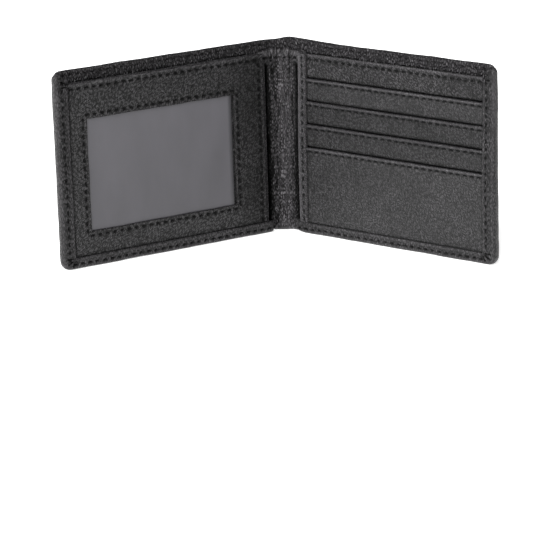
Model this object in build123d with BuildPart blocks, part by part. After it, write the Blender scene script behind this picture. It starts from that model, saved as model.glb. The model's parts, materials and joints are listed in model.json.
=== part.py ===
from build123d import *
import os
from math import cos, radians, sin

# Leather bifold wallet, standing open on its bottom edges.
# Origin: middle of its footprint, on the surface it stands on. +Z up, the leaves open towards -Y.
# Each leaf is laid out flat in its own plane: across is the distance from the fold line,
# up is the height, and depth runs from the outside of the cover towards the inside of the wallet.

# Overall sizes (mm, degrees)
cover_height = 90.0
leaf_width = 111.0  # fold line to free edge
spine_width = 9.4  # fold line to fold line
open_angle = 33.3  # each leaf's turn forward from lying flat
corner_radius = 4.5

# Sheet thicknesses
cover_leather = 0.8
stiffener_board = 0.2
lining_cloth = 0.2
bill_gap = 0.3
divider_leather = 0.5
slip_leather = 0.5
backing_card = 0.3
pane_film = 0.3
frame_leather = 0.9
pocket_leather = 0.4
base_leather = 0.4
tongue_cloth = 0.2
hem_leather = 0.6

# Turned edges
side_hem = 6.5
bottom_hem = 5.3
top_hem = 10.0
bottom_hem_start = {"left": 4.0, "right": 3.0}
spine_notch = 1.5  # the spine's bottom edge stands this far off the ground

# Inside of the wallet
inner_top_drop = 5.8  # cover's top edge to the inside's top edge
panel_start = 6.0  # fold line to the first edge of the inside panels
slip_overhang = 0.8  # the slip pocket's edge shows past the window frame's edge
slip_top_step = 4.0
divider_start = 4.0
lining_start = 1.5
binding_width = 3.5
binding_leather = 0.6

# Identity window in the left leaf
window_start = 21.7
window_far_border = 15.3  # window to the leaf's free edge
window_bottom = 16.2
window_top_border = 16.8  # window to the inside's top edge
pane_margin = 4.0

# Card pockets in the right leaf
pocket_count = 4
first_pocket_drop = 11.5  # inside's top edge to the first pocket's edge
pocket_pitch = 10.6
pocket_strip = 15.0
pocket_depth = 50.0

# Seams
stitch_pitch = 3.7
stitch_length = 2.7
thread_width = 0.5
thread_rise = 0.2
groove_width = 0.9
edge_to_seam = 2.4
side_seam_inset = {"left": 3.6, "right": 4.8}
panel_seam_inset = 2.1
top_seam_drop = 2.5
pocket_seam_drop = 1.7
window_seam_margin = 2.0

# Clearances
sheet_clearance = 0.1  # inside sheets to the cover's edge walls
fold_clearance = 0.25  # leaf to spine, over the whole fold
spine_sheet_inset = 1.4  # fold line to the spine's inside sheets

# Worked out from the sizes above
inner_top = cover_height - inner_top_drop
fold_depth = cover_leather / 2
board_depth = cover_leather
lining_depth = board_depth + stiffener_board
divider_depth = lining_depth + lining_cloth + bill_gap
panel_depth = divider_depth + divider_leather
pocket_stack = base_leather + pocket_count * pocket_leather
window_stack = slip_leather + backing_card + pane_film + frame_leather
hem_depth = panel_depth + max(pocket_stack, window_stack)
leaf_thickness = hem_depth + hem_leather
turn = radians(open_angle)
wallet_depth = fold_depth + leaf_width * sin(turn) + (leaf_thickness - fold_depth) * cos(turn)
spine_back = wallet_depth / 2
inner_corner_radius = corner_radius - cover_leather - sheet_clearance
sheet_end = leaf_width - cover_leather - sheet_clearance
sheet_bottom = cover_leather + sheet_clearance
sides = {"left": -1, "right": 1}

os.makedirs("parts", exist_ok=True)


def leaf_plane(hand, depth):
    """The plane of one leaf at a depth: X across (away from the spine is + on the right), Y up."""
    side = sides[hand]
    along = (cos(turn), -side * sin(turn), 0)
    inward = Vector(-side * sin(turn), -cos(turn), 0)
    fold_line = Vector(side * spine_width / 2, spine_back - fold_depth, 0)
    return Plane(origin=fold_line + inward * (depth - fold_depth), x_dir=along, z_dir=inward)


def spine_plane(depth):
    """The plane of the spine at a depth: X to the right, Y up."""
    return Plane(origin=(0, spine_back - depth, 0), x_dir=(1, 0, 0), z_dir=(0, -1, 0))


def strip(hand, near, far, low, high, mode=Mode.ADD):
    """A rectangle between two distances from the fold line and two heights."""
    with Locations((sides[hand] * (near + far) / 2, (low + high) / 2)):
        Rectangle(far - near, high - low, mode=mode)


def free_corners(outline, hand):
    """The corners of a sketched outline at the leaf's free edge, lowest first."""
    outermost = outline.vertices().group_by(Axis.X)[-1 if hand == "right" else 0]
    return outermost.sort_by(Axis.Y)


def save(part, name):
    """Label one finished piece and write it to its own file."""
    part.label = name
    export_step(part, f"parts/{name}.step")


def stitch_row(start, end):
    """Middles of the stitches along a straight seam, as fractions spread over its length."""
    run = Vector(*end) - Vector(*start)
    count = round(run.length / stitch_pitch)
    return [Vector(*start) + run * ((i + 0.5) / count) for i in range(count)]


def stitches(hand, start, end):
    """Sketch the thread of one straight seam between two (across, up) points."""
    upright = abs(end[1] - start[1]) > abs(end[0] - start[0])
    side = sides[hand]
    places = [(side * point.X, point.Y) for point in stitch_row(start, end)]
    with Locations(*places):
        SlotOverall(stitch_length, thread_width, rotation=90 if upright else 0)


# Outer cover of a leaf: one sheet with its bottom, free and top edges turned in


def make_cover(hand):
    seam_far = leaf_width - side_seam_inset[hand]
    seam_top = cover_height - edge_to_seam
    half_groove = groove_width / 2
    with BuildPart() as cover:
        # block as thick as the leaf, as wide and high as the bottom and side hems reach
        with BuildSketch(leaf_plane(hand, 0)) as block:
            strip(hand, bottom_hem_start[hand], leaf_width, 0, inner_top)
            fillet(free_corners(block, hand)[:1], corner_radius)
        extrude(amount=leaf_thickness)
        # room for the inside sheets
        with BuildSketch(leaf_plane(hand, cover_leather)) as room:
            strip(hand, 0, leaf_width - cover_leather, cover_leather, cover_height)
            fillet(free_corners(room, hand)[:1], corner_radius - cover_leather)
        extrude(amount=hem_depth - cover_leather, mode=Mode.SUBTRACT)
        # opening inside the hems
        with BuildSketch(leaf_plane(hand, hem_depth)):
            strip(hand, 0, leaf_width - side_hem, bottom_hem, cover_height)
        extrude(amount=hem_leather, mode=Mode.SUBTRACT)
        # outside wall
        with BuildSketch(leaf_plane(hand, 0)) as wall:
            strip(hand, 0, leaf_width, 0, cover_height)
            fillet(free_corners(wall, hand), corner_radius)
        extrude(amount=cover_leather)
        # top edge turned down inside
        with BuildSketch(leaf_plane(hand, cover_leather)) as turned_edge:
            strip(hand, lining_start, leaf_width, cover_height - top_hem, cover_height)
            fillet(free_corners(turned_edge, hand)[-1:], corner_radius)
            strip(hand, sheet_end, leaf_width, 0, inner_top + sheet_clearance, mode=Mode.SUBTRACT)
        extrude(amount=stiffener_board + lining_cloth)
        # the stitches sink into a groove pressed in the outside
        with BuildSketch(leaf_plane(hand, 0)):
            for middle in (edge_to_seam, seam_top):
                strip(hand, 0, seam_far + half_groove, middle - half_groove, middle + half_groove)
            strip(hand, seam_far - half_groove, seam_far + half_groove, edge_to_seam, seam_top)
        extrude(amount=thread_rise, mode=Mode.SUBTRACT)
    save(cover.part, f"cover_{hand}")


# Seam round a leaf's cover: thread on the outside, and on the hems inside


def make_cover_seam(hand):
    seam_far = leaf_width - side_seam_inset[hand]
    seam_top = cover_height - edge_to_seam
    hem_start = bottom_hem_start[hand]
    with BuildPart() as seam:
        with BuildSketch(leaf_plane(hand, 0)):
            stitches(hand, (0, edge_to_seam), (seam_far - thread_width, edge_to_seam))
            stitches(hand, (seam_far, edge_to_seam + thread_width), (seam_far, seam_top - thread_width))
            stitches(hand, (0, seam_top), (seam_far - thread_width, seam_top))
        extrude(amount=thread_rise)
        with BuildSketch(leaf_plane(hand, leaf_thickness)):
            stitches(hand, (hem_start, edge_to_seam), (seam_far - thread_width, edge_to_seam))
            stitches(hand, (seam_far, edge_to_seam + thread_width), (seam_far, inner_top))
        extrude(amount=thread_rise)
        with BuildSketch(leaf_plane(hand, divider_depth - bill_gap)):
            stitches(hand, (lining_start, seam_top), (seam_far, seam_top))
        extrude(amount=thread_rise)
    save(seam.part, f"cover_seam_{hand}")


# Whole sheets inside a leaf, from the cover inwards


def make_sheet(name, hand, depth, thickness, start, top):
    with BuildPart() as sheet:
        with BuildSketch(leaf_plane(hand, depth)) as outline:
            strip(hand, start, sheet_end, sheet_bottom, top)
            fillet(free_corners(outline, hand)[:1], inner_corner_radius)
        extrude(amount=thickness)
    save(sheet.part, name)


def make_leaf_sheets(hand):
    lining_top = cover_height - top_hem
    make_sheet(f"stiffener_{hand}", hand, board_depth, stiffener_board, lining_start, lining_top)
    make_sheet(f"bill_lining_{hand}", hand, lining_depth, lining_cloth, lining_start, lining_top)
    make_sheet(f"bill_divider_{hand}", hand, divider_depth, divider_leather, divider_start, inner_top)


# Identity window of the left leaf: slip pocket, grey backing, clear pane and leather frame


def make_window():
    slip_start = panel_start - slip_overhang
    make_sheet("slip_pocket", "left", panel_depth, slip_leather, slip_start, inner_top - slip_top_step)
    backing_depth = panel_depth + slip_leather
    pane_depth = backing_depth + backing_card
    frame_depth = hem_depth - frame_leather
    window_end = leaf_width - window_far_border
    window_top = inner_top - window_top_border
    for name, depth, thickness in (
        ("window_backing", backing_depth, backing_card),
        ("window_pane", pane_depth, frame_depth - pane_depth),
    ):
        with BuildPart() as layer:
            with BuildSketch(leaf_plane("left", depth)):
                strip(
                    "left",
                    window_start - pane_margin,
                    window_end + pane_margin,
                    window_bottom - pane_margin,
                    window_top + pane_margin,
                )
            extrude(amount=thickness)
        save(layer.part, name)
    with BuildPart() as frame:
        with BuildSketch(leaf_plane("left", frame_depth)) as outline:
            strip("left", panel_start, sheet_end, sheet_bottom, inner_top)
            fillet(free_corners(outline, "left")[:1], inner_corner_radius)
            strip("left", window_start, window_end, window_bottom, window_top, mode=Mode.SUBTRACT)
        extrude(amount=frame_leather)
    save(frame.part, "window_frame")

    near = window_start - window_seam_margin
    far = window_end + window_seam_margin
    low = window_bottom - window_seam_margin
    high = window_top + window_seam_margin
    with BuildPart() as seam:
        with BuildSketch(leaf_plane("left", hem_depth)):
            for level in (low, high):
                stitches("left", (near + thread_width, level), (far - thread_width, level))
            for across in (near, far):
                stitches("left", (across, low + thread_width), (across, high - thread_width))
        extrude(amount=thread_rise)
    save(seam.part, "window_seam")

    edge_seam = panel_start + panel_seam_inset
    with BuildPart() as seam:
        with BuildSketch(leaf_plane("left", hem_depth)):
            stitches("left", (edge_seam, bottom_hem), (edge_seam, inner_top - top_seam_drop - thread_width))
        extrude(amount=thread_rise)
    save(seam.part, "window_frame_edge_seam")


# Card side of the right leaf: base panel, four stepped pockets, cloth tongues and binding


def make_card_side():
    make_sheet("pocket_base", "right", panel_depth, base_leather, panel_start, inner_top)
    for number in range(pocket_count):
        depth = panel_depth + base_leather + number * pocket_leather
        top = inner_top - first_pocket_drop - number * pocket_pitch
        if number == pocket_count - 1:
            make_sheet(f"card_pocket_{number + 1}", "right", depth, pocket_leather, panel_start, top)
        else:
            strip_low = top - pocket_strip
            tongue_low = max(top - pocket_depth, bottom_hem)
            with BuildPart() as pocket:
                with BuildSketch(leaf_plane("right", depth)):
                    strip("right", panel_start, sheet_end, strip_low, top)
                extrude(amount=pocket_leather)
            save(pocket.part, f"card_pocket_{number + 1}")
            with BuildPart() as tongue:
                with BuildSketch(leaf_plane("right", depth)):
                    strip("right", panel_start, sheet_end, tongue_low, strip_low)
                extrude(amount=tongue_cloth)
            save(tongue.part, f"pocket_tongue_{number + 1}")
        with BuildPart() as seam:
            seam_height = top - pocket_seam_drop
            with BuildSketch(leaf_plane("right", depth + pocket_leather)):
                stitches(
                    "right",
                    (panel_start + binding_width, seam_height),
                    (leaf_width - side_hem, seam_height),
                )
            extrude(amount=thread_rise)
        save(seam.part, f"pocket_seam_{number + 1}")


def make_binding():
    with BuildPart() as binding:
        with BuildSketch(leaf_plane("right", hem_depth)):
            strip("right", panel_start - binding_leather, panel_start + binding_width, bottom_hem, inner_top)
        extrude(amount=hem_leather)
        with BuildSketch(leaf_plane("right", panel_depth)):
            strip("right", panel_start - binding_leather, panel_start, bottom_hem, inner_top)
        extrude(amount=hem_depth - panel_depth)
    save(binding.part, "pocket_binding")
    middle = panel_start + panel_seam_inset
    with BuildPart() as seam:
        with BuildSketch(leaf_plane("right", leaf_thickness)):
            stitches("right", (middle, bottom_hem), (middle, inner_top))
        extrude(amount=thread_rise)
    save(seam.part, "pocket_binding_seam")


# Seam along the inside's top edge, one row for each leaf


def make_top_seam(hand, depth, start):
    height = inner_top - top_seam_drop
    with BuildPart() as seam:
        with BuildSketch(leaf_plane(hand, depth)):
            stitches(hand, (start, height), (leaf_width - side_hem, height))
        extrude(amount=thread_rise)
    save(seam.part, f"top_seam_{hand}")


# Spine: the stretch of cover, lining and divider between the two fold lines


def make_spine():
    cover_half = spine_width / 2 - cover_leather / 2 - fold_clearance
    sheet_half = spine_width / 2 - spine_sheet_inset
    lining_top = cover_height - top_hem
    divider_front = divider_depth + bill_gap + divider_leather
    with BuildPart() as cover:
        with BuildSketch(spine_plane(0)):
            with Locations((0, (cover_height + spine_notch) / 2)):
                Rectangle(2 * cover_half, cover_height - spine_notch)
        extrude(amount=cover_leather)
        with BuildSketch(spine_plane(cover_leather)):
            with Locations((0, cover_height - top_hem / 2)):
                Rectangle(2 * sheet_half, top_hem)
        extrude(amount=stiffener_board + lining_cloth)
        with BuildSketch(spine_plane(cover_leather)):
            with Locations((0, spine_notch + cover_leather / 2)):
                Rectangle(2 * sheet_half, cover_leather)
        extrude(amount=divider_front - cover_leather)
        with BuildSketch(spine_plane(divider_front)):
            with Locations((0, (spine_notch + bottom_hem) / 2)):
                Rectangle(2 * sheet_half, bottom_hem - spine_notch)
        extrude(amount=cover_leather / 2)
    save(cover.part, "cover_spine")
    with BuildPart() as lining:
        with BuildSketch(spine_plane(cover_leather)):
            with Locations((0, (lining_top + spine_notch + cover_leather) / 2)):
                Rectangle(2 * sheet_half, lining_top - spine_notch - cover_leather)
        extrude(amount=lining_cloth)
    save(lining.part, "bill_lining_spine")
    with BuildPart() as divider:
        with BuildSketch(spine_plane(divider_front - divider_leather)):
            with Locations((0, (inner_top + spine_notch + cover_leather) / 2)):
                Rectangle(2 * sheet_half, inner_top - spine_notch - cover_leather)
        extrude(amount=divider_leather)
    save(divider.part, "bill_divider_spine")
    spine_stitches = stitch_row((-sheet_half, 0), (sheet_half, 0))
    for name, height, depth in (
        ("cover_seam_spine", cover_height - edge_to_seam, divider_depth - bill_gap),
        ("top_seam_spine", inner_top - top_seam_drop, divider_front),
    ):
        with BuildPart() as seam:
            with BuildSketch(spine_plane(depth)):
                with Locations(*[(point.X, height) for point in spine_stitches]):
                    SlotOverall(stitch_length, thread_width)
            extrude(amount=thread_rise)
        save(seam.part, name)


for hand in sides:
    make_cover(hand)
    make_cover_seam(hand)
    make_leaf_sheets(hand)
make_window()
make_card_side()
make_binding()
make_top_seam("left", hem_depth, panel_start + panel_seam_inset)
make_top_seam("right", panel_depth + base_leather, panel_start + binding_width)
make_spine()
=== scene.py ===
import json
from math import atan2, ceil, cos, exp, pi, radians, sin
import bmesh
import bpy
from mathutils import Matrix, Vector, noise


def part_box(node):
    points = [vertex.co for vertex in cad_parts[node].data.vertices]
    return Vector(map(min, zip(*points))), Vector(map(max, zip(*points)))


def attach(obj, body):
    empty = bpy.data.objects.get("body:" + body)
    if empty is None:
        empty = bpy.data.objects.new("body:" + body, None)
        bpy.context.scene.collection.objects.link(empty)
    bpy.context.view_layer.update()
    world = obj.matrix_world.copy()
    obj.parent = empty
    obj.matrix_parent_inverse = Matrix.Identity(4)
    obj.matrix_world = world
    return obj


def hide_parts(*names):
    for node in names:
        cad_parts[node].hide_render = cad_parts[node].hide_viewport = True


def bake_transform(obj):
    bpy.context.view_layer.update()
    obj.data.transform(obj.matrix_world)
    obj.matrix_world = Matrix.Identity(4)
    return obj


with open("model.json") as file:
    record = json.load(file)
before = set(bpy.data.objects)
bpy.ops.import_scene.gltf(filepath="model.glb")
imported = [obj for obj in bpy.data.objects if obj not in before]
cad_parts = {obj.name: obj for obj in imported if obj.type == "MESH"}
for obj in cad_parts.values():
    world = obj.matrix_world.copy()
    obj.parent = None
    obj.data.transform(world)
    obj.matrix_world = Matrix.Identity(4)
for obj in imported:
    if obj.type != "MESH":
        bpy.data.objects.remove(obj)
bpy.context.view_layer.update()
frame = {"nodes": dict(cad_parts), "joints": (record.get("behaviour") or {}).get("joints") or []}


# ---------------------------------------------------------------- outer cover
# One charcoal cowhide sheet round both leaves and the spine. Its bottom and free edges are rolled
# over the inside panels and sewn down as hems; its top edge is turned down inside the note pocket.
# It is laid out flat first (across from the fold line, up, depth inwards), then bent at the fold.

mm = 0.001
sides = {"left": -1, "right": 1}
folds = {joint["child"]: joint for joint in frame["joints"]}
fold_x = folds["right_leaf"]["pos_m"][0]
fold_y = folds["right_leaf"]["pos_m"][1]
turn = -radians(folds["right_leaf"]["range_deg"][0])
fold_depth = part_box("cover_spine")[1].y - fold_y
fold_reach = 4.0 * mm  # the leather bends this far each side of the fold line


def smooth(value, start=0.0, end=1.0):
    """0 before start, 1 after end, and an even curve between them."""
    share = min(1.0, max(0.0, (value - start) / (end - start)))
    return share * share * (3 - 2 * share)


def lay(hand, across, up, depth):
    """Where a point of the flat layout lies on the open wallet."""
    angle = turn * smooth(across, -fold_reach, fold_reach)
    inward = depth - fold_depth
    x = fold_x + across * cos(angle) - inward * sin(angle)
    y = fold_y - across * sin(angle) - inward * cos(angle)
    return Vector((sides[hand] * x, y, up))


def flat_box(node, hand):
    """A frame node's lowest and highest corner in its leaf's flat layout."""
    side = sides[hand]
    along = Vector((side * cos(turn), -sin(turn), 0))
    inward = Vector((-side * sin(turn), -cos(turn), 0))
    fold_line = Vector((side * fold_x, fold_y, 0))
    points = [vertex.co - fold_line for vertex in frame["nodes"][node].data.vertices]
    flat = [(p.dot(along), p.z, p.dot(inward) + fold_depth) for p in points]
    return Vector(map(min, zip(*flat))), Vector(map(max, zip(*flat)))


leaf_width, cover_height, leaf_thickness = flat_box("cover_right", "right")[1]
inner_top = flat_box("window_frame", "left")[1].y  # the inside panels' top edge
grid_step = 0.52 * mm
edge_roll = 1.5 * mm  # how far in from the edge the rolled hem starts to turn
corner_radius = 4.5 * mm
corner_reach = corner_radius - edge_roll
tuck_radius = corner_radius - 1.4 * mm  # keeps the inside panels inside the cover's corners
side_hem = 6.5 * mm
bottom_hem = 5.3 * mm
spine_hem = 1.7 * mm  # the bottom hem's height over the spine
top_turn = 0.6 * mm
top_hem = 11.0 * mm
spine_thickness = 2.9 * mm
pocket_step = 1.2 * mm  # the card side is this much thinner at its top than at its foot
spine_notch = 1.9 * mm  # how far the bottom edge is drawn up at the spine
bead_inset = 1.1 * mm  # sewing squeezes the rolled edge into a soft bead
bead_width = 0.7 * mm
bead_height = 0.14 * mm
pleat_depth = 0.4 * mm
pleats_per_turn = 11

stitch_pitch = 3.7 * mm
stitch_length = 1.9 * mm
stitch_sink = 0.50 * mm  # how far a stitch pulls the leather down
pucker = 0.22 * mm  # how far the leather swells between two stitches
row_sink = 0.10 * mm
row_width = 0.9 * mm
seam_up = 2.4 * mm
seam_inset = {"left": 3.6 * mm, "right": 4.8 * mm}


def steps(start, end, step=grid_step):
    """Even cuts from start to end, no further apart than step."""
    count = max(1, ceil((end - start) / step - 1e-6))
    return [start + (end - start) * i / count for i in range(count + 1)]


def sheet_grid(columns, rows, depth=0.0):
    """A flat sheet facing inwards, cut at these columns (across) and rows (up)."""
    sheet = bmesh.new()
    bmesh.ops.create_grid(sheet, x_segments=len(columns) - 1, y_segments=len(rows) - 1, size=0.5)
    for vertex in sheet.verts:
        column = round((vertex.co.x + 0.5) * (len(columns) - 1))
        row = round((vertex.co.y + 0.5) * (len(rows) - 1))
        vertex.co = (columns[column], rows[row], depth)
    return sheet


def open_edges(sheet, chosen):
    """The sheet's open edges whose middle passes the test."""
    edges = [edge for edge in sheet.edges if len(edge.link_faces) == 1]
    return [edge for edge in edges if chosen((edge.verts[0].co + edge.verts[1].co) / 2)]


def edge_directions(edges):
    """Each edge vertex's way out of the sheet, in the sheet's plane."""
    total = {}
    for edge in edges:
        first, second = edge.verts
        away = (first.co + second.co) / 2 - edge.link_faces[0].calc_center_median()
        run = (second.co - first.co).normalized()
        away = away - run * away.dot(run)
        away.z = 0
        for vertex in edge.verts:
            total[vertex] = total.get(vertex, Vector()) + away.normalized()
    return {vertex: way * 2 / way.length_squared for vertex, way in total.items()}


def roll_edges(sheet, edges, place, loops):
    """Pull the edges out loop after loop; place(start, way, loop) says where each vertex goes."""
    ways = edge_directions(edges)
    starts = {vertex: vertex.co.copy() for vertex in ways}
    for loop in range(loops):
        made = bmesh.ops.extrude_edge_only(sheet, edges=edges)["geom"]
        edges = [item for item in made if isinstance(item, bmesh.types.BMEdge)]
        fresh = [item for item in made if isinstance(item, bmesh.types.BMVert)]
        edges = [edge for edge in edges if edge.verts[0] in fresh and edge.verts[1] in fresh]
        next_ways, next_starts = {}, {}
        for vertex in fresh:
            link = next(e for e in vertex.link_edges if e.other_vert(vertex) in ways)
            source = link.other_vert(vertex)
            next_ways[vertex] = ways[source]
            next_starts[vertex] = starts[source]
            vertex.co = place(starts[source], ways[source], loop)
        ways, starts = next_ways, next_starts
    return edges


def round_corner(point, corner, upward):
    """Pull a square corner's patch in to a quarter circle about the corner's centre."""
    out_across = (point.x - corner.x) / corner_reach
    out_up = (point.y - corner.y) / corner_reach * upward
    if out_across > 0 and out_up > 0:
        point.x = corner.x + corner_reach * out_across * (1 - out_up ** 2 / 2) ** 0.5
        point.y = corner.y + upward * corner_reach * out_up * (1 - out_across ** 2 / 2) ** 0.5


def fade(distance, width, sharpness=2):
    """1 on a line, fading out evenly on both sides of it."""
    return exp(-((distance / width) ** sharpness))


def seam_relief(across, up, rows):
    """How sewn rows shape soft leather: (height, shade) of their sunk stitches and puckers."""
    height = shade = 0.0
    for start, end in rows:
        run_across, run_up = end[0] - start[0], end[1] - start[1]
        length = (run_across ** 2 + run_up ** 2) ** 0.5
        along = ((across - start[0]) * run_across + (up - start[1]) * run_up) / length
        beside = abs((across - start[0]) * run_up - (up - start[1]) * run_across) / length
        if along < -0.5 * mm or along > length + 0.5 * mm or beside > 3 * mm:
            continue
        pitch = length / max(1, round(length / stitch_pitch))
        from_stitch = abs((along / pitch) % 1 - 0.5) * pitch
        stitch = fade(from_stitch, stitch_length / 2, sharpness=4)
        height -= row_sink * fade(beside, row_width)
        height -= stitch_sink * stitch * fade(beside, 0.50 * mm)
        height += pucker * (1 - stitch) * fade(beside, row_width)
        # Painted shade in each stitch's pit.
        shade = max(shade, 0.85 * stitch * fade(beside, 0.42 * mm))
    return height, shade


def soft_waves(across, up, size, seed):
    """Slow swells in soft leather, from -1 to 1."""
    return noise.noise(Vector((across / size, up / size, seed)))


def tuck_corner(point):
    """Keep an inside panel's low outer corner within the cover's rounded corner."""
    out = Vector((point.x - leaf_width + corner_radius, point.y - corner_radius))
    if out.x > 0 and out.y < 0 and out.length > tuck_radius:
        point.x += out.x * (tuck_radius / out.length - 1)
        point.y += out.y * (tuck_radius / out.length - 1)


def piece_from(sheet, name, hand, finish, relief, replaced, outside=False):
    """Shape a flat-laid sheet, lay it on the wallet and make it a finished piece."""
    if outside:
        bmesh.ops.reverse_faces(sheet, faces=sheet.faces[:])
    sheet.normal_update()
    hide = sheet.verts.layers.float_vector.new("hide")
    coarse = sheet.verts.layers.float.new("coarse")
    shade = sheet.verts.layers.float.new("shade")
    crosses_fold = False
    for vertex in sheet.verts:
        if not outside:
            tuck_corner(vertex.co)
        across, up, depth = vertex.co
        vertex[hide] = (sides[hand] * across, up, depth)
        height, vertex[coarse], vertex[shade] = relief(across, up, depth)
        across, up, depth = vertex.co + vertex.normal * height
        crosses_fold = crosses_fold or across < fold_reach
        vertex.co = lay(hand, across, max(up, 0.0), depth)
    if hand == "left":
        bmesh.ops.reverse_faces(sheet, faces=sheet.faces[:])
    object_from(sheet, name, hand, finish, replaced, crosses_fold)


def object_from(sheet, name, hand, finish, replaced, crosses_fold):
    """Make the object, give it its finish and hide what it stands for; a piece on one leaf gets that
    leaf's body, and one across the fold keeps its place baked in.
    """
    for face in sheet.faces:
        face.smooth = True
    mesh = bpy.data.meshes.new(name)
    sheet.to_mesh(mesh)
    sheet.free()
    piece = bpy.data.objects.new(name, mesh)
    bpy.context.scene.collection.objects.link(piece)
    mesh.materials.append(finish)
    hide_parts(*replaced)
    if crosses_fold:
        start = lay(hand, fold_reach, 0, fold_depth)
        end = lay(hand, -fold_reach, 0, fold_depth)
        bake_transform(piece)
    else:
        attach(piece, f"{hand}_leaf")


class Value:
    """A number out of a shader node. Sums and products of values add their Math nodes."""

    def __init__(self, finish, socket):
        self.finish = finish
        self.socket = socket

    def math(self, operation, first, second=0.0):
        return self.finish.node("ShaderNodeMath", {"operation": operation}, {0: first, 1: second})

    def __add__(self, other):
        return self.math("ADD", self, other)

    def __sub__(self, other):
        return self.math("SUBTRACT", self, other)

    def __rsub__(self, other):
        return self.math("SUBTRACT", other, self)

    def __mul__(self, other):
        return self.math("MULTIPLY", self, other)

    def __pow__(self, other):
        return self.math("POWER", self, other)

    __radd__ = __add__
    __rmul__ = __mul__


class Finish:
    """One material and its nodes."""

    def __init__(self, name, roughness, specular=0.5, sheen=0.0, coat=0.0):
        self.material = bpy.data.materials.new(name)
        self.material.use_nodes = True
        self.tree = self.material.node_tree
        self.surface = self.tree.nodes["Principled BSDF"]
        self.surface.inputs["Roughness"].default_value = roughness
        self.surface.inputs["Specular IOR Level"].default_value = specular
        self.surface.inputs["Sheen Weight"].default_value = sheen
        self.surface.inputs["Coat Weight"].default_value = coat

    def node(self, kind, settings, inputs, output=0):
        made = self.tree.nodes.new(kind)
        for setting, value in settings.items():
            setattr(made, setting, value)
        for socket, value in inputs.items():
            self.feed(made.inputs[socket], value)
        return Value(self, made.outputs[output])

    def feed(self, socket, value):
        if isinstance(value, Value):
            self.tree.links.new(value.socket, socket)
        else:
            socket.default_value = value

    def set(self, name, value):
        """Feed one of the surface's own sockets."""
        self.feed(self.surface.inputs[name], value)

    def coordinates(self):
        return self.node("ShaderNodeTexCoord", {}, {}, output="Object")

    def vector_math(self, operation, first, second):
        return self.node("ShaderNodeVectorMath", {"operation": operation}, {0: first, 1: second})

    def blend_colours(self, share, first, second):
        return self.node(
            "ShaderNodeMix", {"data_type": "RGBA"}, {0: share, 6: first, 7: second}, output=2
        )

    def bump(self, height, distance, strength=1.0, under=None):
        inputs = {"Height": height, "Distance": distance, "Strength": strength}
        if under is not None:
            inputs["Normal"] = under
        return self.node("ShaderNodeBump", {}, inputs)

    def attribute(self, name, output="Fac"):
        return self.node("ShaderNodeAttribute", {"attribute_name": name}, {}, output=output)


def cells(finish, place, size):
    """Leather pebbles: 0 in the creases between them, rising to 1 over each one."""
    steepness = 3.2
    edge = finish.node(
        "ShaderNodeTexVoronoi",
        {"feature": "DISTANCE_TO_EDGE"},
        {"Vector": place, "Scale": 1 / size, "Randomness": 0.95},
        output="Distance",
    )
    return edge.math("MINIMUM", edge * steepness, 1.0)


def clouds(finish, place, size, detail=3.0):
    """Soft irregular patches, about 0.5 on average."""
    return finish.node(
        "ShaderNodeTexNoise", {}, {"Vector": place, "Scale": 1 / size, "Detail": detail}
    )


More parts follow.
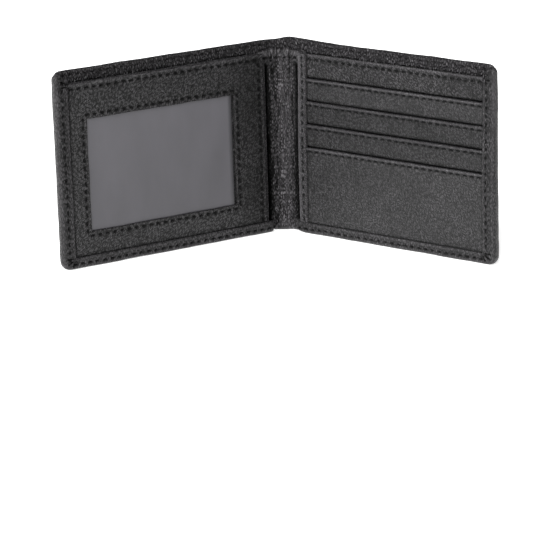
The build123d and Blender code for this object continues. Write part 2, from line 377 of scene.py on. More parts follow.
def leather(name, dark, light, cell, depth, roughness, lean=0.0):
    """Dyed cowhide: long fine pebbles that lean one way, coarse upright ones where it is gathered
    (coarse above 0), a smoother face where it is stretched flat (below 0), and painted shade in its
    creases."""
    swirl_reach = (0.5 * mm, 0.5 * mm, 0.5 * mm)
    fine_stretch = (1.0, 0.24, 1.0)  # pebbles four times as long as wide
    upright_stretch = (1.0, 0.42, 1.0)
    gathered_cell = 0.82 * mm
    finish = Finish(name, roughness, specular=0.30)
    hide = finish.attribute("hide", output="Vector")
    swirl = finish.node(
        "ShaderNodeTexNoise", {}, {"Vector": hide, "Scale": 450.0, "Detail": 2.0}, output="Color"
    )
    swirl = finish.vector_math("SUBTRACT", swirl, (0.5, 0.5, 0.5))
    swirl = finish.vector_math("MULTIPLY", swirl, swirl_reach)
    wavy = finish.vector_math("ADD", hide, swirl)
    leaning = finish.node(
        "ShaderNodeVectorRotate", {"rotation_type": "Z_AXIS"}, {"Vector": wavy, "Angle": lean}
    )
    place = finish.vector_math("MULTIPLY", leaning, fine_stretch)
    upright = finish.vector_math("MULTIPLY", wavy, upright_stretch)
    gathered = finish.attribute("coarse")
    shade = finish.attribute("shade")
    coarse = gathered.math("MAXIMUM", gathered, 0.0)
    calm = gathered.math("MAXIMUM", gathered * -1.0, 0.0)
    fine = cells(finish, place, cell)
    large = cells(finish, upright, gathered_cell)
    fine_noise = clouds(finish, place, 0.45 * mm, 3.0)
    grain = (fine * (1 - coarse * 0.7) + fine_noise * 0.5) * (1 - calm * 0.55)
    pebbles = large * coarse
    creases = clouds(finish, hide, 8.0 * mm, 5.0)
    soft = finish.bump(creases, 0.7 * mm, 0.4)
    pebbled = finish.bump(pebbles, 0.85 * mm, 1.0, under=soft)
    finish.set("Normal", finish.bump(grain, depth, 1.0, under=pebbled))
    patches = clouds(finish, hide, 14.0 * mm, 4.0)
    tops = (fine * (1 - coarse) + large * coarse) * (1 - calm * 0.6) + calm * 0.5
    # Painted shade and highlight: the creases between the pebbles are painted darker, and the shade
    # attribute paints shade (above 0) or highlight (below 0) into the colour.
    tone = tops * tops * (0.2 + patches * 1.4 + coarse * 0.2) - shade * 1.2
    tone = tone.math("MAXIMUM", tone, 0.0)
    colour = finish.blend_colours(tone, dark, light)
    finish.set("Base Color", colour)
    uneven = patches * 0.12 - tops * 0.10 + shade * 0.3 + roughness
    finish.set("Roughness", uneven)
    # Painted shade: a black surface without reflection, mixed in over the creases and where the shade
    # attribute paints shade.
    painted_shade_surface = {"Base Color": (0.0008, 0.0008, 0.0008, 1), "Roughness": 0.9, "Specular IOR Level": 0.0}
    painted_shade_surface = finish.node("ShaderNodeBsdfPrincipled", {}, painted_shade_surface)
    between = (1 - tops) * (coarse * 0.22 + 0.34) * (1 - calm * 0.6)
    painted_shade_share = between + shade.math("MAXIMUM", shade, 0.0) * 0.9
    painted_shade_share = painted_shade_share.math("MINIMUM", painted_shade_share, 1.0)
    hide_surface = Value(finish, finish.surface.outputs[0])
    whole = finish.node("ShaderNodeMixShader", {}, {0: painted_shade_share, 1: hide_surface, 2: painted_shade_surface})
    finish.feed(finish.tree.nodes["Material Output"].inputs["Surface"], whole)
    return finish.material


cover_finish = leather(
    "cover_leather",
    (0.0008, 0.0008, 0.0008, 1),
    (0.048, 0.0455, 0.0485, 1),
    cell=0.50 * mm,
    depth=0.17 * mm,
    roughness=0.41,
)


def on_leaf(across):
    """0 over the spine, 1 on the leaf."""
    return smooth(across, 1.0 * mm, 3.4 * mm)


def leaf_depth(hand, across, up):
    """How thick the leaf is under its hem: thinner over the spine and where fewer pockets lie."""
    thickness = leaf_thickness
    if hand == "right":
        thickness -= pocket_step * smooth(up, 38 * mm, 78 * mm)
    return spine_thickness + (thickness - spine_thickness) * on_leaf(across)


def cover_rows(hand):
    """The cover's sewn rows: along the bottom, up the free edge, and along the top."""
    far = leaf_width - seam_inset[hand]
    high = cover_height - seam_up
    return [
        ((0.0, seam_up), (far - 0.5 * mm, seam_up)),
        ((far, seam_up + 0.5 * mm), (far, high - 0.5 * mm)),
        ((0.0, high), (far - 0.5 * mm, high)),
    ]


def lay_out_cover():
    """The cover's flat face, with its two outer corners rounded."""
    columns = steps(-fold_x, leaf_width - edge_roll)
    rows = steps(edge_roll, cover_height - top_turn)
    sheet = sheet_grid(columns, rows)
    low_corner = Vector((leaf_width - corner_radius, corner_radius))
    high_corner = Vector((leaf_width - corner_radius, cover_height - top_turn - corner_reach))
    for vertex in sheet.verts:
        round_corner(vertex.co, low_corner, -1)
        round_corner(vertex.co, high_corner, 1)
    return sheet


def is_top_edge(middle):
    """Whether an open edge of the flat cover is turned down with its top."""
    if middle.y > cover_height - top_turn - 0.1 * mm:
        return True
    on_corner = middle.x > leaf_width - corner_radius and middle.y > cover_height - corner_radius
    return on_corner and middle.y > cover_height - top_turn - corner_reach * 0.3


def is_hemmed_edge(middle):
    return not is_top_edge(middle) and middle.x > -fold_x + 0.1 * mm


def roll_hems(sheet, hand):
    """Roll the bottom and free edges over the leaf and lay them down on the inside panels."""
    roll_loops = 8
    hem_loops = 22
    hem_drop = 1.5 * mm  # the hem's raw edge goes down to the panel under it
    hem_swell = 0.12 * mm
    high_end = cover_height - 3.5 * mm

    def place(start, way, loop):
        thickness = leaf_depth(hand, start.x, start.y)
        if loop < roll_loops:
            angle = pi * (loop + 1) / roll_loops
            way = way.normalized()
            out = edge_roll + (top_turn - edge_roll) * smooth(way.y, 0.0, 0.8)
            deep = thickness * (1 - cos(angle)) / 2
            return start + way * out * sin(angle) + Vector((0, 0, deep))
        hem_up = spine_hem + (bottom_hem - spine_hem) * on_leaf(start.x)
        end_up = min(max(start.y, hem_up), high_end)
        hem_start = Vector((start.x, start.y, thickness))
        hem_end = Vector((min(start.x, leaf_width - side_hem), end_up, thickness))
        if loop == hem_loops - 1:
            return hem_end - Vector((0, 0, hem_drop))
        share = (loop + 1 - roll_loops) / (hem_loops - 1 - roll_loops)
        point = hem_start.lerp(hem_end, share)
        point.z += hem_swell * sin(pi * share)
        return point

    roll_edges(sheet, open_edges(sheet, is_hemmed_edge), place, hem_loops)


def turn_top(sheet):
    """Fold the top edge over and down into the note pocket."""
    turn_loops = 4
    top_loops = 22
    hem_swell = 0.15 * mm

    def place(start, way, loop):
        if loop < turn_loops:
            angle = pi * (loop + 1) / turn_loops
            out = top_turn * sin(angle)
            return start + way.normalized() * out + Vector((0, 0, top_turn * (1 - cos(angle))))
        share = (loop + 1 - turn_loops) / (top_loops - turn_loops)
        drop = (top_hem - top_turn) * share
        return Vector((start.x, start.y - drop, 2 * top_turn + hem_swell * sin(pi * share)))

    roll_edges(sheet, open_edges(sheet, is_top_edge), place, top_loops)


def draw_up_spine(sheet, hand):
    """Draw the bottom edge up at the spine, and give the top edge its low wave beside it."""
    notch_ends = {"left": (1.0 * mm, 3.6 * mm), "right": (-1.0 * mm, 9.0 * mm)}
    for vertex in sheet.verts:
        near_spine = 1 - smooth(vertex.co.x, *notch_ends[hand])
        vertex.co.y += spine_notch * near_spine * (1 - smooth(vertex.co.y, 0, 24 * mm))
        from_middle = sides[hand] * (vertex.co.x + fold_x)
        lift = 0.7 * smooth(from_middle, -4 * mm, 4 * mm) * (1 - smooth(from_middle, 9 * mm, 34 * mm))
        lift -= 0.35 * fade(from_middle + 4 * mm, 4 * mm)
        vertex.co.y += lift * mm * smooth(vertex.co.y, 70 * mm, 88 * mm)


def pleats(across, up, corner, upward):
    """Narrow folds where the hide is gathered round a corner, fanning out of the hem's corner."""
    out_across = across - corner[0]
    out_up = (up - corner[1]) * upward
    reach = (out_across ** 2 + out_up ** 2) ** 0.5
    if out_across < -0.5 * mm or out_up < -0.5 * mm or reach < 0.3 * mm:
        return 0.0
    fold = sin(pleats_per_turn * atan2(out_up, out_across) + 1.1 + 0.12 * reach / mm)
    inside = smooth(reach, 0.3 * mm, 2 * mm) * (1 - smooth(reach, 3.6 * mm, 5.4 * mm))
    return max(0.0, fold) ** 2 * inside


def cover_relief(hand):
    """The cover's surface: smooth outside, gathered at the corners, pebbled where it turns in, with
    painted shade and highlight on it.
    """
    sewn = cover_rows(hand)
    low_corner = (leaf_width - side_hem, bottom_hem)
    high_corner = (leaf_width - side_hem - 1 * mm, inner_top - 1 * mm)

    def relief(across, up, depth):
        on_hem = smooth(depth, 0.6 * leaf_thickness, 0.8 * leaf_thickness)
        on_top_hem = smooth(depth, 0.6 * mm, 1.1 * mm) * smooth(up, cover_height - 13 * mm, 84 * mm)
        on_top_hem *= 1 - smooth(across, leaf_width - side_hem, leaf_width - 3 * mm)
        height, shade = seam_relief(across, up, sewn)
        height += 0.22 * mm * soft_waves(across, up, 16 * mm, 3.0)
        height += 0.10 * mm * soft_waves(across, up, 5 * mm, 7.0)
        from_edge = min(leaf_width - across, up)
        bead = fade(from_edge - bead_inset, bead_width)
        height += bead_height * bead
        # Painted highlight along the rolled edge's bead.
        shade -= 0.30 * bead
        coarse = -0.9
        if depth < 0.3 * mm:  # the outside, with its crease beside the spine
            height -= 0.35 * mm * fade(across - 6 * mm, 1.6 * mm)
            height += 0.25 * mm * fade(across, 9 * mm) * soft_waves(across * 5, up, 14 * mm, 1.0)
            return height, coarse, shade
        # The stitches' painted shade is weaker on the hems.
        shade -= 0.35 * max(0.0, shade) * on_hem
        hem_width = side_hem if leaf_width - across < up else bottom_hem
        lip = on_hem * fade(hem_width - from_edge - 0.7 * mm, 0.45 * mm)
        height += 0.14 * mm * lip
        # Painted highlight on the lip at the hem's raw edge.
        shade -= 0.25 * lip
        gathers = on_hem * max(pleats(across, up, low_corner, -1), pleats(across, up, high_corner, 1))
        height -= pleat_depth * gathers
        # Painted shade in the folds of the gathered corners.
        shade += 0.9 * gathers
        coarse += 0.9 * max(on_hem, on_top_hem)
        coarse += 1.0 * on_top_hem
        # Painted light: the turned top edge is lighter, with its stitches' painted shade lifted; then
        # a painted shadow where it meets the inside panels' top edge.
        shade -= (0.4 + 0.8 * max(0.0, shade)) * on_top_hem
        shade += 0.6 * on_top_hem * fade(up - inner_top - 0.2 * mm, 0.45 * mm)
        coarse += 0.35 * on_hem * smooth(up, 76 * mm, 86 * mm)
        height += 0.25 * mm * on_top_hem * soft_waves(across * 3, up * 1.2, 4 * mm, 12.0)
        return height, coarse, shade

    return relief


for hand in sides:
    cover = lay_out_cover()
    roll_hems(cover, hand)
    turn_top(cover)
    draw_up_spine(cover, hand)
    piece_from(
        cover,
        f"cover_leather_{hand}",
        hand,
        cover_finish,
        cover_relief(hand),
        (f"cover_{hand}", "cover_spine"),
        outside=True,
    )


# ---------------------------------------------------------------- cover seams
# Waxed black thread, one short stitch every 3.7 mm, pulled down into the leather. The same rows
# show on the outside of the cover, on the hems inside, and on the turned edge of the note pocket.

thread_radius = 0.26 * mm
thread_sunk = 0.34 * mm  # how far the stitches lie under the leather's face
turned_edge_sunk = 0.45 * mm  # deeper, among the turned edge's coarse pebbles

thread_finish = Finish("waxed_thread", 0.75, specular=0.12)
twist = thread_finish.node(
    "ShaderNodeTexWave",
    {"wave_type": "BANDS", "bands_direction": "DIAGONAL"},
    {"Vector": thread_finish.coordinates(), "Scale": 900.0, "Distortion": 1.5},
)
thread_finish.set(
    "Base Color",
    thread_finish.blend_colours(twist, (0.001, 0.001, 0.001, 1), (0.006, 0.006, 0.0062, 1)),
)
thread_finish.set("Normal", thread_finish.bump(twist, 0.08 * mm))


def add_stitches(thread, start, end, depth_at):
    """Lay one row's stitches into the flat layout, at the depth that depth_at(across, up) gives."""
    run = Vector(end) - Vector(start)
    count = max(1, round(run.length / stitch_pitch))
    upright = abs(run.y) > abs(run.x)
    for number in range(count):
        middle = Vector(start) + run * ((number + 0.5) / count)
        made = bmesh.ops.create_uvsphere(thread, u_segments=8, v_segments=6, radius=1.0)["verts"]
        lean = 0.16 * noise.noise(Vector((middle.x / (2 * mm), middle.y / (2 * mm), 4.0)))
        shape = (
            Matrix.Translation((middle.x, middle.y, depth_at(middle.x, middle.y)))
            @ Matrix.Rotation((pi / 2 if upright else 0) + 0.12 + lean, 4, "Z")
            @ Matrix.Diagonal((stitch_length / 2, thread_radius, thread_radius, 1))
        )
        bmesh.ops.transform(thread, matrix=shape, verts=made)


def thread_piece(thread, name, hand, replaced):
    """Lay a seam's stitches on the wallet and make them one piece."""
    crosses_fold = any(vertex.co.x < fold_reach for vertex in thread.verts)
    for vertex in thread.verts:
        vertex.co = lay(hand, *vertex.co)
    if hand == "left":
        bmesh.ops.reverse_faces(thread, faces=thread.faces[:])
    object_from(thread, name, hand, thread_finish.material, replaced, crosses_fold)


def hem_thread_depth(hand):
    return lambda across, up: leaf_depth(hand, across, up) - thread_sunk


for hand in sides:
    thread = bmesh.new()
    for row_start, row_end in cover_rows(hand):
        add_stitches(thread, row_start, row_end, lambda across, up: thread_sunk)
    bottom_row, side_row, top_row = cover_rows(hand)
    hem_start = (flat_box(f"cover_seam_{hand}", hand)[0].x + 4 * mm, seam_up)
    add_stitches(thread, hem_start, bottom_row[1], hem_thread_depth(hand))
    add_stitches(thread, side_row[0], (side_row[1][0], inner_top), hem_thread_depth(hand))
    turned_depth = 2 * top_turn - turned_edge_sunk
    add_stitches(thread, (-fold_x, top_row[0][1]), top_row[1], lambda across, up: turned_depth)
    thread_piece(thread, f"cover_thread_{hand}", hand, (f"cover_seam_{hand}", "cover_seam_spine"))


# ---------------------------------------------------------------- note pocket lining and boards
# A plain woven cloth glued inside the cover, over thin bonded-leather stiffener boards, and the
# cloth tongues that carry the upper card pockets. All are flat cut sheets, hidden once sewn in.


def woven_cloth():
    """Plain weave: threads both ways, unevenly dyed."""
    finish = Finish("lining_cloth", 0.8, specular=0.3, sheen=0.2)
    place = finish.coordinates()
    weave = 0.0
    for direction in ("X", "Z"):
        wave = {"wave_type": "BANDS", "bands_direction": direction}
        weave = weave + finish.node("ShaderNodeTexWave", wave, {"Vector": place, "Scale": 600.0})
    patches = clouds(finish, place, 6 * mm)
    tone = weave * 0.35 + patches * 0.3
    colour = finish.blend_colours(tone, (0.008, 0.008, 0.009, 1), (0.03, 0.03, 0.032, 1))
    finish.set("Base Color", colour)
    finish.set("Normal", finish.bump(weave, 0.05 * mm))
    return finish.material


def bonded_board():
    finish = Finish("stiffener_board", 0.85, specular=0.25)
    place = finish.coordinates()
    fibres = clouds(finish, place, 0.8 * mm, 6.0)
    colour = finish.blend_colours(fibres, (0.06, 0.045, 0.032, 1), (0.19, 0.155, 0.12, 1))
    finish.set("Base Color", colour)
    finish.set("Normal", finish.bump(fibres, 0.08 * mm))
    return finish.material


def dress(node, finish):
    """Give a frame node its finish."""
    for slot in frame["nodes"][node].material_slots:
        slot.link = "OBJECT"
        slot.material = finish


lining_finish = woven_cloth()
board_finish = bonded_board()
for hand in sides:
    dress(f"stiffener_{hand}", board_finish)
for node in frame["nodes"]:
    if node.startswith(("bill_lining", "pocket_tongue")):
        dress(node, lining_finish)


# ---------------------------------------------------------------- note pocket divider
# The inside's back sheet: one piece of leather from hem to hem, its top edge turned and sewn. Over
# the spine it shows between the panels, gathered into pebbles and upright creases.

panel_start = flat_box("window_frame", "left")[0].x
top_seam_up = inner_top - 2.5 * mm
spine_bottom = 2.3 * mm
spine_bulge = 1.9 * mm
crevice_place = {"left": 3.6 * mm, "right": 4.7 * mm}  # where the divider sinks beside a panel
crevice_depth = {"left": 0.9 * mm, "right": 0.4 * mm}
band_height = 1.2 * mm  # the sewn top edge bridges the crevices

# Three copies of one inside leather with differently leaning grain: the left one darker as painted
# shade, the right one and the divider over the spine lighter as painted light.
inside_finish = {
    part: leather(
        f"inside_leather_{part}",
        (0.0008, 0.0008, 0.0008, 1),
        colour,
        cell=0.46 * mm,
        depth=0.20 * mm,
        roughness=0.40,
        lean=lean,
    )
    for part, lean, colour in (
        ("left", 0.7, (0.044, 0.0417, 0.0446, 1)),
        ("divider", 0.0, (0.084, 0.0795, 0.0845, 1)),
        ("right", -0.7, (0.067, 0.0635, 0.0678, 1)),
    )
}


def round_edges(sheet, thickness, hem, chosen=lambda middle: True):
    """Turn a sheet's chosen open edges over to its back, ending in a hem of this width."""
    radius = thickness / 2
    turn_loops = 5

    def place(start, way, loop):
        angle = pi * min(loop + 1, turn_loops) / turn_loops
        inward = hem if loop == turn_loops else 0.0
        out = radius * sin(angle) - inward
        return start + way * out - Vector((0, 0, radius * (1 - cos(angle))))

    roll_edges(sheet, open_edges(sheet, chosen), place, turn_loops + 1)


def on_spine(across):
    """1 over the spine, 0 on the leaf."""
    return 1 - smooth(across, 0.8 * mm, 5.0 * mm)


def make_divider(hand):
    low, high = flat_box(f"bill_divider_{hand}", hand)
    thickness = high.z - low.z
    radius = thickness / 2
    columns = steps(-fold_x, 12 * mm, 0.5 * mm) + steps(12 * mm, high.x - radius, 2 * mm)[1:]
    rows = steps(low.y + radius, inner_top - radius, 0.6 * mm)
    sheet = sheet_grid(columns, rows, high.z)
    round_edges(sheet, thickness, 6 * mm, lambda middle: middle.x > -fold_x)
    seam = [((-fold_x, top_seam_up), (panel_start, top_seam_up))]

    def relief(across, up, depth):
        bulge = on_spine(across)
        creased = bulge * smooth(up, spine_bottom, spine_bottom + 3 * mm)
        crease = soft_waves(across * 7, up, 9 * mm, 2.0)
        height, shade = seam_relief(across, up, seam)
        height += spine_bulge * bulge
        height += 0.55 * mm * creased * crease
        height += 0.34 * mm * creased * soft_waves(across * 2.2, up, 2.4 * mm, 8.0)
        # Painted light and shade on the spine's upright creases.
        shade -= 0.6 * bulge * crease
        on_band = smooth(up, inner_top - 7 * mm, inner_top - 3.8 * mm)
        crevice_width = 1.0 * mm + 0.7 * mm * smooth(inner_top - up, 12 * mm, 60 * mm)
        crevice = fade(across - crevice_place[hand], crevice_width) * (1 - on_band)
        height += band_height * on_band * (1 - bulge) * (1 - smooth(across, 6 * mm, 8 * mm))
        height -= crevice_depth[hand] * crevice
        if depth < high.z - radius:
            height = 0.0
        from_middle = sides[hand] * (across + fold_x)
        # Painted highlight on the crown of the spine's swell and along the sewn top edge; painted
        # shade in the crevices.
        crown_highlight = fade(from_middle - 2.4 * mm, 3.4 * mm)
        crown_highlight = max(crown_highlight, fade(inner_top - up - 0.7 * mm, 0.6 * mm))
        return height, 0.2 + 0.7 * bulge, shade + 0.9 * crevice - 0.45 * crown_highlight

    for vertex in sheet.verts:
        near_spine = 1 - smooth(vertex.co.x, 0.5 * mm, 5 * mm)
        vertex.co.y = max(vertex.co.y, spine_bottom * near_spine)
    piece_from(
        sheet,
        f"divider_leather_{hand}",
        hand,
        inside_finish["divider"],
        relief,
        (f"bill_divider_{hand}", "bill_divider_spine"),
    )


for hand in sides:
    make_divider(hand)


# ---------------------------------------------------------------- slip pocket
# A second leather panel behind the window panel. Only its turned edge shows, a ridge beside the
# spine, because the window panel covers the rest.

edge_shown = 0.9 * mm  # its rounded edge shows past the window panel
edge_fullness = 0.5 * mm  # the turned edge is this much thicker than the flat sheet


def make_slip_pocket():
    low, high = flat_box("slip_pocket", "left")
    thickness = high.z - low.z + edge_fullness
    radius = thickness / 2
    low.x -= edge_shown
    columns = steps(low.x + radius, 14 * mm, 0.5 * mm) + steps(14 * mm, high.x - radius, 3 * mm)[1:]
    rows = steps(low.y + radius, high.y - radius, 0.8 * mm)
    sheet = sheet_grid(columns, rows, high.z + 0.4 * mm)
    round_edges(sheet, thickness, 2.0 * mm)

    def relief(across, up, depth):
        ridge = fade(across - low.x - 0.8 * mm, 0.5 * mm)
        height = 0.25 * mm * ridge * (1 + 0.6 * soft_waves(across, up, 3 * mm, 6.0))
        # Painted shadow where the pocket goes under the window panel's edge, and a painted highlight
        # on its ridge.
        behind = fade(across - panel_start, 0.35 * mm)
        return height, 0.3, 0.8 * behind - 0.35 * ridge

    piece_from(
        sheet,
        "slip_pocket_leather",
        "left",
        inside_finish["left"],
        relief,
        ("slip_pocket",),
    )


make_slip_pocket()


# ---------------------------------------------------------------- identity window
# A frosted clear film over grey card, glued behind a leather panel with a rectangular opening. The
# opening's edge is turned under and sewn all round; the film's own edge shows on the spine side.

window_margin = 2.0 * mm
panel_seam_inset = 2.1 * mm
window_seam_low, window_seam_high = flat_box("window_seam", "left")
from_seam = 0.25 * mm + window_margin  # from the stitches' outer side to the opening
window_low = window_seam_low + Vector((from_seam, from_seam, 0))
window_high = window_seam_high - Vector((from_seam, from_seam, 0))


def card_backing():
    finish = Finish("grey_card", 0.9, specular=0.2)
    place = finish.coordinates()
    mottle = clouds(finish, place, 3 * mm, 5.0)
    colour = finish.blend_colours(mottle, (0.085, 0.084, 0.094, 1), (0.12, 0.118, 0.13, 1))
    finish.set("Base Color", colour)
    finish.set("Normal", finish.bump(mottle, 0.04 * mm))
    return finish.material


def frosted_film():
    """Matt clear film: a fine even frost, faint long streaks, and a satin shine."""
    finish = Finish("frosted_film", 0.42, specular=0.5, coat=0.08)
    hide = finish.attribute("hide", output="Vector")
    frost = clouds(finish, hide, 0.3 * mm, 3.0)
    streaks = finish.vector_math("MULTIPLY", hide, (1.0, 0.35, 1.0))
    streaks = clouds(finish, streaks, 12 * mm, 3.0)
    edge = finish.attribute("shade")
    low = finish.attribute("coarse")
    # Painted shade: the film darker towards the bottom.
    tone = frost * 0.3 + streaks * 0.9 - low * 0.5 + 0.05
    grey = finish.blend_colours(tone, (0.037, 0.0353, 0.0408, 1), (0.067, 0.0642, 0.0735, 1))
    # Painted shade: a dark line along the film's cut edge.
    colour = finish.blend_colours(edge, grey, (0.02, 0.02, 0.022, 1))
    finish.set("Base Color", colour)
    finish.set("Roughness", frost * 0.12 + 0.36)
    finish.set("Normal", finish.bump(frost, 0.015 * mm))
    return finish.material


dress("window_backing", card_backing())


def make_pane():
    low, high = flat_box("window_pane", "left")
    thickness = high.z - low.z
    radius = thickness / 2
    film_edge = window_low.x + 0.9 * mm
    behind_panel = 2 * mm
    columns = steps(film_edge, window_high.x + behind_panel, 2 * mm)
    rows = steps(window_low.y - behind_panel, window_high.y + behind_panel, 2 * mm)
    sheet = sheet_grid(columns, rows, high.z + 0.05 * mm)
    round_edges(sheet, thickness, 0.0)

    def relief(across, up, depth):
        # Painted shade along the film's edge, and how far down the film it is painted darker.
        edge = fade(across - film_edge, 0.35 * mm)
        height = 0.12 * mm * soft_waves(across, up, 30 * mm, 4.0)
        down = (window_high.y - up) / (window_high.y - window_low.y)
        return height - radius * 0.5, down, edge

    piece_from(
        sheet, "window_film", "left", frosted_film(), relief, ("window_pane",)
    )


make_pane()


def window_rows():
    """The sewn rows round the window: below, above, and on its two sides."""
    near, low = window_low.x - window_margin, window_low.y - window_margin
    far, high = window_high.x + window_margin, window_high.y + window_margin
    half = 0.5 * mm
    return [
        ((near + half, low), (far - half, low)),
        ((near + half, high), (far - half, high)),
        ((near, low + half), (near, high - half)),
        ((far, low + half), (far, high - half)),
    ]


def frame_edge_rows():
    edge = panel_start + panel_seam_inset
    return [((edge, bottom_hem), (edge, top_seam_up - 0.5 * mm))]


def frame_top_row():
    return ((panel_start + panel_seam_inset, top_seam_up), (leaf_width - side_hem, top_seam_up))


def hem_shadow(across, up, width):
    """The dark line on a panel along the edge of the cover's hems."""
    return max(fade(across - leaf_width + side_hem, width), fade(up - bottom_hem, width))


def cuts_round_opening(start, opening_start, opening_end, end):
    """Even cuts from start to end, with one at each side of an opening."""
    before, over = steps(start, opening_start), steps(opening_start, opening_end)
    return before + over[1:] + steps(opening_end, end)[1:]


def make_window_frame():
    low, high = flat_box("window_frame", "left")
    thickness = high.z - low.z
    radius = thickness / 2
    open_left, open_right = window_low.x - radius, window_high.x + radius
    open_bottom, open_top = window_low.y - radius, window_high.y + radius
    columns = cuts_round_opening(low.x + radius, open_left, open_right, high.x - radius)
    rows = cuts_round_opening(low.y + radius, open_bottom, open_top, high.y - radius)
    sheet = sheet_grid(columns, rows, high.z)
    inside = []
    for face in sheet.faces:
        middle = face.calc_center_median()
        if open_left < middle.x < open_right and open_bottom < middle.y < open_top:
            inside.append(face)
    bmesh.ops.delete(sheet, geom=inside, context="FACES")
    round_edges(sheet, thickness, 0.6 * mm)
    sewn = window_rows() + frame_edge_rows() + [frame_top_row()]

    def relief(across, up, depth):
        height, shade = seam_relief(across, up, sewn)
        height += 0.16 * mm * soft_waves(across, up, 12 * mm, 9.0)
        height += 0.07 * mm * soft_waves(across, up, 3.5 * mm, 3.0)
        top_band = smooth(up, top_seam_up + 0.5 * mm, top_seam_up + 1.2 * mm)
        height += 0.10 * mm * top_band
        lift = smooth(across, 60 * mm, 100 * mm) * smooth(up, 60 * mm, inner_top)
        height += 0.35 * mm * lift * fade(across - 88 * mm, 10 * mm)
        # Painted highlight along the panel's turned edges beside the spine and at its top; painted
        # shadow along the cover's hems.
        panel_edge = fade(across - panel_start - 0.5 * mm, 0.5 * mm)
        panel_edge = max(panel_edge, fade(inner_top - up - 0.6 * mm, 0.5 * mm))
        spine_side = 1 - smooth(across, 8 * mm, 30 * mm)  # painted shade, darker towards the spine
        shade += 0.14 * spine_side + 0.6 * hem_shadow(across, up, 0.5 * mm) - 0.4 * panel_edge
        return height, 0.1 * spine_side, shade

    piece_from(
        sheet,
        "window_panel",
        "left",
        inside_finish["left"],
        relief,
        ("window_frame",),
    )
    face_depth = high.z - thread_sunk
    for name, rows_of_thread, replaced in (
        ("window_thread", window_rows(), "window_seam"),
        ("panel_edge_thread", frame_edge_rows(), "window_frame_edge_seam"),
        ("top_thread_left", [frame_top_row()], "top_seam_left"),
    ):
        thread = bmesh.new()
        for row_start, row_end in rows_of_thread:
            add_stitches(thread, row_start, row_end, lambda across, up: face_depth)
        thread_piece(thread, name, "left", (replaced,))


make_window_frame()


# ---------------------------------------------------------------- card side
# A leather base panel and four card pockets stepped down it, each a leather strip with its top edge
# turned over and sewn; the front one is full height. The first three hang on cloth tongues.

binding_low, binding_high = flat_box("pocket_binding", "right")
binding_high.x += 0.6 * mm  # its fold takes up this much more than the flat strip
pocket_names = [f"card_pocket_{number}" for number in (1, 2, 3, 4)]
pocket_tops = [flat_box(name, "right")[1].y for name in pocket_names]
pocket_seam_drop = 1.7 * mm
pocket_grain = (-0.25, 0.10, 0.06, -0.25)  # some strips are from a smoother part of the hide

pocket_finish = leather(
    "pocket_leather",
    (0.0010, 0.0010, 0.0010, 1),
    (0.043, 0.0407, 0.0438, 1),
    cell=0.40 * mm,
    depth=0.14 * mm,
    roughness=0.40,
    lean=-0.7,
)


def pocket_row(top):
    return ((binding_high.x, top - pocket_seam_drop), (leaf_width - side_hem, top - pocket_seam_drop))


def card_sheet_relief(top, edges_below, sewn, coarse, edge_lift, seed):
    """Leather of the card side: its own turned edge, the next pocket's edge, swells and stitches,
    with painted shade and highlight.
    """
    line = 0.45 * mm

    def relief(across, up, depth):
        height, shade = seam_relief(across, up, sewn)
        height += 0.16 * mm * soft_waves(across, up, 18 * mm, seed)
        height += 0.05 * mm * soft_waves(across, up, 4 * mm, seed + 2)
        height += edge_lift * fade(top - up - 0.8 * mm, 0.9 * mm)
        for edge in edges_below:
            above = up - edge
            if above > -2 * mm:
                # Painted shade just above the next pocket's top edge, in its mouth.
                shade = max(shade, fade(above - 0.15 * mm, 0.65 * mm))
                height -= 0.32 * mm * fade(above, 0.9 * mm)
        # Painted shadow along the hems and the binding, and a painted highlight on this sheet's own
        # turned edge.
        hem_and_binding_shadow = max(hem_shadow(across, up, line), fade(across - binding_high.x, line))
        own_edge_highlight = fade(top - up - 0.55 * mm, line)
        return height, coarse, shade + 0.5 * hem_and_binding_shadow - 0.4 * own_edge_highlight

    return relief


def make_card_sheet(node, name, finish, thickness, seam, below, coarse, edge_lift, seed):
    """Make one sheet of the card side, and return the thread of the row sewn under its top edge."""
    low, high = flat_box(node, "right")
    radius = thickness / 2
    columns = steps(low.x + radius, high.x - radius)
    sewn_edge = high.y - 3 * mm
    rows = steps(low.y + radius, sewn_edge) + steps(sewn_edge, high.y - radius, 0.4 * mm)[1:]
    sheet = sheet_grid(columns, rows, high.z)
    round_edges(sheet, thickness, 1.5 * mm)
    relief = card_sheet_relief(high.y, below, [seam], coarse, edge_lift, seed)
    piece_from(sheet, name, "right", finish, relief, (node,))
    thread = bmesh.new()
    face_depth = high.z - thread_sunk
    add_stitches(thread, *seam, lambda across, up: face_depth)
    return thread


base_seam = ((binding_high.x, top_seam_up), (leaf_width - side_hem, top_seam_up))
base_thread = make_card_sheet(
    "pocket_base",
    "card_base",
    inside_finish["right"],
    0.6 * mm,
    base_seam,
    pocket_tops[:1],
    coarse=0.15,
    edge_lift=0.1 * mm,
    seed=1.0,
)
thread_piece(base_thread, "top_thread_right", "right", ("top_seam_right",))
for number, (node, top) in enumerate(zip(pocket_names, pocket_tops)):
    pocket_thread = make_card_sheet(
        node,
        f"{node}_leather",
        pocket_finish,
        0.7 * mm,
        pocket_row(top),
        pocket_tops[number + 1:number + 2],
        pocket_grain[number],
        0.45 * mm,
        seed=11.0 + number,
    )
    thread_piece(pocket_thread, f"{node}_thread", "right", (f"pocket_seam_{number + 1}",))


# ---------------------------------------------------------------- pocket binding
# A narrow leather strip folded round the pockets' raw edges beside the spine and sewn through, so
# that it stands up as a rounded ridge with the stitches sunk along its middle.


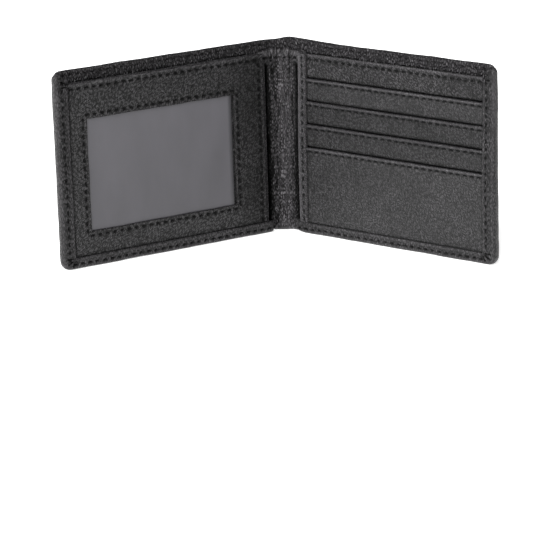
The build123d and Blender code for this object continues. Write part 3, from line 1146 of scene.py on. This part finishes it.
def make_binding():
    round_over = 0.9 * mm
    columns = steps(binding_low.x + round_over, binding_high.x - round_over, 0.3 * mm)
    rows = steps(bottom_hem - 2 * mm, inner_top - 0.3 * mm, 0.6 * mm)
    sheet = sheet_grid(columns, rows, leaf_thickness)
    turn_loops = 4

    def place(start, way, loop):
        angle = pi / 2 * min(loop + 1, turn_loops) / turn_loops
        down = round_over * (1 - cos(angle))
        if loop == turn_loops:
            down = leaf_thickness - binding_low.z - 1.3 * mm
        way = Vector((way.x, way.y * 0.3, 0))
        return start + way * round_over * sin(angle) - Vector((0, 0, down))

    roll_edges(sheet, open_edges(sheet, lambda middle: True), place, turn_loops + 1)
    for vertex in sheet.verts:
        vertex.co.z -= leaf_thickness - leaf_depth("right", 10 * mm, vertex.co.y)
    seam_across = panel_start + panel_seam_inset
    seam = ((seam_across, bottom_hem), (seam_across, inner_top))

    def relief(across, up, depth):
        height, shade = seam_relief(across, up, [seam])
        height = 0.6 * height + 0.12 * mm * soft_waves(across, up, 7 * mm, 5.0)
        # Painted highlight over the whole binding, stronger near its edge beside the spine.
        edge_highlight = fade(across - binding_low.x - 0.8 * mm, 0.7 * mm)
        return height, 0.0, shade - 0.15 - 0.5 * edge_highlight

    piece_from(
        sheet,
        "binding_leather",
        "right",
        inside_finish["right"],
        relief,
        ("pocket_binding",),
    )
    thread = bmesh.new()
    add_stitches(thread, *seam, hem_thread_depth("right"))
    thread_piece(thread, "binding_thread", "right", ("pocket_binding_seam",))


make_binding()


# ---------------------------------------------------------------- divider seam over the spine
# The same waxed black thread. The row along the inside's top edge carries on across the spine,
# through the divider alone.

for hand in sides:
    thread = bmesh.new()
    divider_face = flat_box(f"bill_divider_{hand}", hand)[1].z
    add_stitches(
        thread,
        (-fold_x, top_seam_up),
        (panel_start - 1.2 * mm, top_seam_up),
        lambda across, up: divider_face + spine_bulge * on_spine(across) - thread_sunk,
    )
    thread_piece(thread, f"spine_thread_{hand}", hand, ("top_seam_spine",))


# ---------------------------------------------------------------- table, lights and camera
# A plain white table lit softly from below, a wide overhead light bank from the front, a round
# softbox to the left, and a long lens a little above the wallet and to its right.

table_half_side = 6.0


def make_table():
    top = bmesh.new()
    bmesh.ops.create_grid(top, x_segments=2, y_segments=2, size=table_half_side)
    mesh = bpy.data.meshes.new("table")
    top.to_mesh(mesh)
    top.free()
    table = bpy.data.objects.new("table", mesh)
    bpy.context.scene.collection.objects.link(table)
    finish = Finish("white_table", 0.9, specular=0.1)
    drift = clouds(finish, finish.coordinates(), 0.6)
    colour = finish.blend_colours(drift, (0.88, 0.88, 0.88, 1), (0.92, 0.92, 0.92, 1))
    finish.set("Base Color", colour)
    finish.surface.inputs["Emission Color"].default_value = (1.0, 1.0, 1.0, 1)
    finish.surface.inputs["Emission Strength"].default_value = 0.72
    mesh.materials.append(finish.material)


def hang_light(name, kind, power, place, target):
    """Hang a lamp at a place, turned to its target, and return its light."""
    light = bpy.data.lights.new(name, kind)
    light.energy = power
    lamp = bpy.data.objects.new(name, light)
    lamp.location = place
    lamp.rotation_euler = (Vector(target) - Vector(place)).to_track_quat("-Z", "Y").to_euler()
    bpy.context.scene.collection.objects.link(lamp)
    return light


make_table()
softbox = hang_light("side_softbox", "AREA", 16.0, (-1.1, -0.55, 0.45), (0, 0, 0.045))
softbox.shape = "DISK"
softbox.size = 0.6
overhead = hang_light("overhead_bank", "SUN", 4.15, (-0.24, -0.66, 0.72), (0, 0, 0))
overhead.angle = radians(34)

world = bpy.data.worlds.new("studio")
world.use_nodes = True
room = world.node_tree.nodes["Background"]
room.inputs["Color"].default_value = (1.0, 1.0, 1.0, 1)
room.inputs["Strength"].default_value = 0.25
bpy.context.scene.world = world
bpy.context.scene.view_settings.view_transform = "Standard"

camera_turn = radians(3.34)
camera_tilt = radians(-16.97)
camera_roll = radians(-1.71)
view = bpy.data.cameras.new("camera")
view.lens = 196.4
view.sensor_width = 36.0
camera = bpy.data.objects.new("camera", view)
camera.location = (0.0721, -1.2961, 0.3841)
camera.rotation_euler = (
    Matrix.Rotation(camera_turn, 3, "Z")
    @ Matrix.Rotation(pi / 2 + camera_tilt, 3, "X")
    @ Matrix.Rotation(camera_roll, 3, "Z")
).to_euler()
bpy.context.scene.collection.objects.link(camera)
bpy.context.scene.camera = camera
